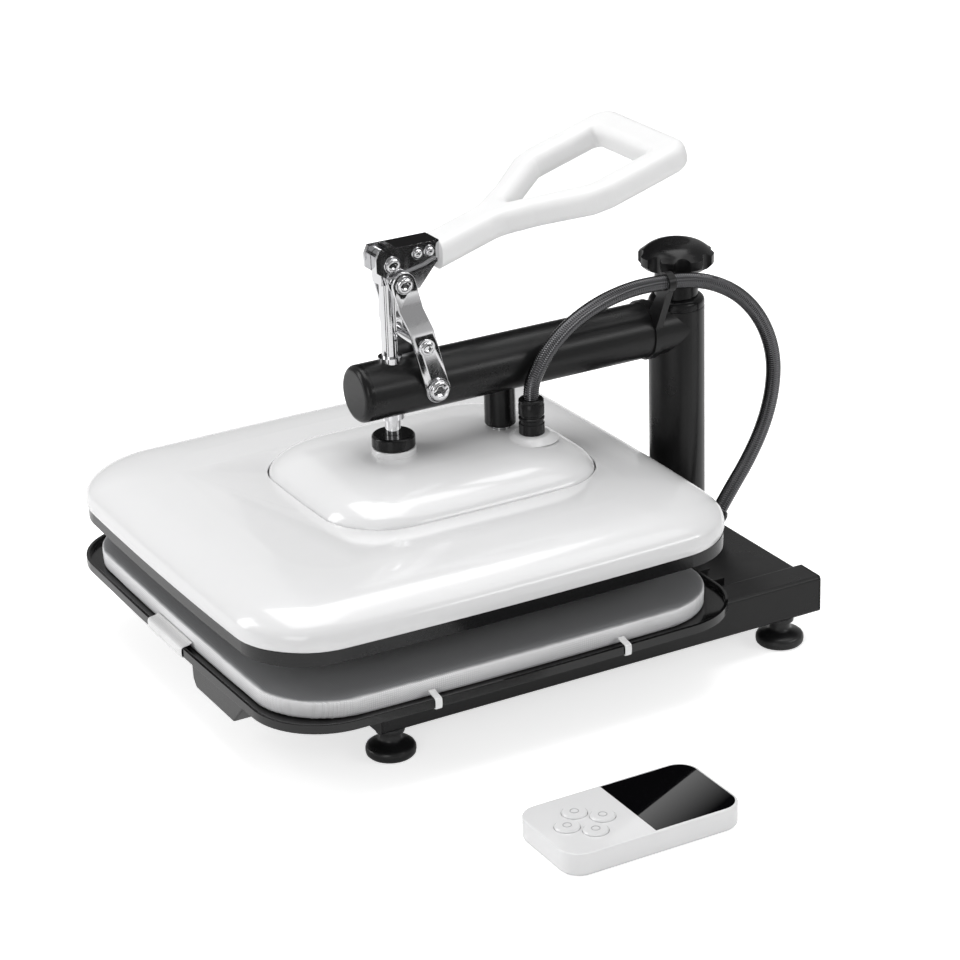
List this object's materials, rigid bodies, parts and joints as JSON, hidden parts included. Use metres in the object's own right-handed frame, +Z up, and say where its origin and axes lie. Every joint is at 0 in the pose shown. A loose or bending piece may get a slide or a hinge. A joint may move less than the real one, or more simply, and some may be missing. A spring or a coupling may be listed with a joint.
{
  "type": "swing-away heat press",
  "caption": "Bench-top swing-away heat press with toggle lever, slide-out padded bed and a loose control unit.",
  "frame": {"origin": "on the table, under the middle of the whole product with its control unit", "axes": "+Z up, the user stands at -Y, +X to the user's right"},
  "size_m": [0.5744, 0.5181, 0.3819],
  "materials": {
    "black_paint": "satin",
    "black_plastic": "matte",
    "rubber": "matte",
    "zinc_steel": "satin",
    "chrome": "polished",
    "bronze": "satin",
    "white_plastic": "gloss",
    "aluminium": "satin",
    "element": "matte",
    "insulation": "matte",
    "pad_felt": "matte",
    "white_elastic": "matte",
    "hose_steel": "satin",
    "glass_black": "gloss",
    "display": "matte"
  },
  "bodies": {
    "base": {"rail_left": "black_paint", "rail_right": "black_paint", "rail_plugs": "black_plastic", "front_crossmember": "black_paint", "base_housing": "black_paint", "housing_floor": "black_paint", "column_post": "black_paint", "drawer_runners": "zinc_steel", "base_gland": "black_plastic", "power_inlet": "black_plastic", "switch_frame": "black_plastic", "hose_lower": "hose_steel"},
    "rocker": {"power_switch": "black_plastic"},
    "foot_fl": {"foot_front_left": "rubber"},
    "foot_fr": {"foot_front_right": "rubber"},
    "foot_rl": {"foot_rear_left": "rubber"},
    "foot_rr": {"foot_rear_right": "rubber"},
    "arm": {"column_sleeve": "black_paint", "swivel_bushes": "bronze", "column_cap": "black_paint", "arm_tube": "black_paint", "arm_cap": "black_paint", "plunger_bush": "bronze", "guide_sleeve": "black_plastic", "link_pivot": "chrome", "hose_clip": "black_plastic", "hose_upper": "hose_steel"},
    "knob": {"clamp_knob": "black_plastic", "knob_stud": "zinc_steel"},
    "links": {"side_link_left": "chrome", "side_link_right": "chrome", "tie_bolt": "chrome", "toggle_studs": "chrome"},
    "lever": {"lever_bracket": "chrome", "lever_pin": "chrome", "handle_bolts": "chrome", "handle": "white_plastic"},
    "platen": {"plunger_rod": "chrome", "plunger_collar": "black_plastic", "guide_rod": "zinc_steel", "mounting_plate": "zinc_steel", "heat_plate": "aluminium", "heating_element": "element", "insulation": "insulation", "platen_cover": "white_plastic", "cover_panel": "white_plastic", "platen_gland": "black_plastic"},
    "tray": {"tray_pan": "black_paint", "pad": "pad_felt", "pad_straps": "white_elastic", "fabric_tag": "white_elastic", "tray_pull": "black_plastic", "drawer_sliders": "zinc_steel"},
    "control": {"control_base": "white_plastic", "control_face": "glass_black", "display": "display"},
    "key_up": {"button_up": "white_plastic"},
    "key_down": {"button_down": "white_plastic"},
    "key_left": {"button_left": "white_plastic"},
    "key_right": {"button_right": "white_plastic"}
  },
  "joints": [
    {"name": "turn_foot_fl", "type": "hinge", "parent": "base", "child": "foot_fl", "pos_m": [-0.23034, -0.12865, 0], "axis": [0, 0, 1], "continuous": true},
    {"name": "turn_foot_fr", "type": "hinge", "parent": "base", "child": "foot_fr", "pos_m": [0.06166, -0.12865, 0], "axis": [0, 0, 1], "continuous": true},
    {"name": "turn_foot_rl", "type": "hinge", "parent": "base", "child": "foot_rl", "pos_m": [-0.23034, 0.20935, 0], "axis": [0, 0, 1], "continuous": true},
    {"name": "turn_foot_rr", "type": "hinge", "parent": "base", "child": "foot_rr", "pos_m": [0.06166, 0.20935, 0], "axis": [0, 0, 1], "continuous": true},
    {"name": "swing_arm", "type": "hinge", "parent": "base", "child": "arm", "pos_m": [-0.08433, 0.21035, 0], "axis": [0, 0, 1], "range_deg": [-60, 60], "deforming": ["hose_lower"]},
    {"name": "press_down", "type": "slide", "parent": "arm", "child": "platen", "axis": [0, 0, -1], "range_m": [0, 0.027], "deforming": ["hose_upper"]},
    {"name": "turn_lever", "type": "hinge", "parent": "platen", "child": "lever", "pos_m": [-0.08433, -0.04165, 0.3156], "axis": [1, 0, 0], "range_deg": [0, 123.14]},
    {"name": "tilt_links", "type": "hinge", "parent": "arm", "child": "links", "pos_m": [-0.08433, -0.01525, 0.2175], "axis": [1, 0, 0], "range_deg": [-2.36, 0.1]},
    {"name": "turn_knob", "type": "hinge", "parent": "arm", "child": "knob", "pos_m": [-0.08433, 0.21035, 0.241], "axis": [0, 0, 1], "continuous": true},
    {"name": "slide_tray", "type": "slide", "parent": "base", "child": "tray", "axis": [0, -1, 0], "range_m": [0, 0.18]},
    {"name": "rock_switch", "type": "hinge", "parent": "base", "child": "rocker", "pos_m": [-0.13034, 0.23085, 0.0385], "axis": [1, 0, 0], "range_deg": [0, 12]},
    {"name": "lift_control", "type": "slide", "parent": "base", "child": "control", "axis": [0, 0, 1], "range_m": [0, 0.05]},
    {"name": "push_up", "type": "slide", "parent": "control", "child": "key_up", "axis": [0, 0, -1], "range_m": [0, 0.001], "stiffness_N_per_m": 800, "springref_m": -0.0004},
    {"name": "push_down", "type": "slide", "parent": "control", "child": "key_down", "axis": [0, 0, -1], "range_m": [0, 0.001], "stiffness_N_per_m": 800, "springref_m": -0.0004},
    {"name": "push_left", "type": "slide", "parent": "control", "child": "key_left", "axis": [0, 0, -1], "range_m": [0, 0.001], "stiffness_N_per_m": 800, "springref_m": -0.0004},
    {"name": "push_right", "type": "slide", "parent": "control", "child": "key_right", "axis": [0, 0, -1], "range_m": [0, 0.001], "stiffness_N_per_m": 800, "springref_m": -0.0004}
  ],
  "couplings": [
    {"joint": "turn_lever", "follows": "press_down", "rad_per_m": 79.278},
    {"joint": "tilt_links", "follows": "press_down", "rad_per_m": -1.4639}
  ]
}
